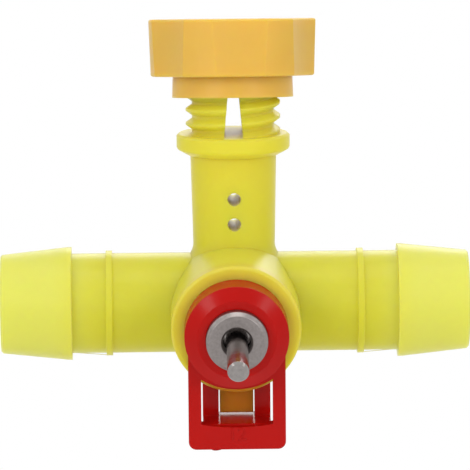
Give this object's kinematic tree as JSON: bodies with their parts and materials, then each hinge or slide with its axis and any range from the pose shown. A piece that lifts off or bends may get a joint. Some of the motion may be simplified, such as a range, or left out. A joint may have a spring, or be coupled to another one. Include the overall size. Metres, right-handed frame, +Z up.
{
  "type": "poultry nipple drinker",
  "caption": "Barbed hose tee with a slotted screw stud that clamps to cage wire and a snap-in nipple valve that a bird opens with its beak.",
  "frame": {"origin": "where the axis of the hose pipe's water bore crosses the axis of the post", "axes": "+X along the hose pipe, +Z up the post, and the nipple points along -Y, six degrees downwards"},
  "size_m": [0.06, 0.0398, 0.0542],
  "materials": {
    "yellow_polyethylene": "injection moulded low-density polyethylene, slightly see-through",
    "orange_polyethylene": "injection moulded polyethylene",
    "red_plastic": "injection moulded ABS, glossy",
    "turned_steel": "turned stainless steel",
    "pin_steel": "turned stainless steel, smooth",
    "seal_rubber": "moulded rubber",
    "strainer_plastic": "injection moulded ABS"
  },
  "bodies": {
    "root": {"tee_body": "yellow_polyethylene", "nipple_housing": "red_plastic", "seat_insert": "turned_steel", "valve_seat_ring": "seal_rubber", "plug_o_ring": "seal_rubber", "strainer_cap": "strainer_plastic"},
    "cap": {"screw_cap": "orange_polyethylene"},
    "needle": {"valve_needle": "turned_steel"},
    "trigger": {"trigger_pin": "pin_steel"}
  },
  "joints": [
    {"name": "cap_turn", "type": "hinge", "parent": "root", "child": "cap", "pos_m": [0, 0, 0.02805], "axis": [0, 0.1045, 0.9945], "range_deg": [-920, 620]},
    {"name": "valve_push", "type": "slide", "parent": "root", "child": "needle", "axis": [0, 0.9945, 0.1045], "range_m": [0, 0.0008]},
    {"name": "pin_tilt", "type": "hinge", "parent": "needle", "child": "trigger", "pos_m": [0, -0.0176, -0.00185], "axis": [-1, 0, 0], "range_deg": [0, 14]}
  ]
}
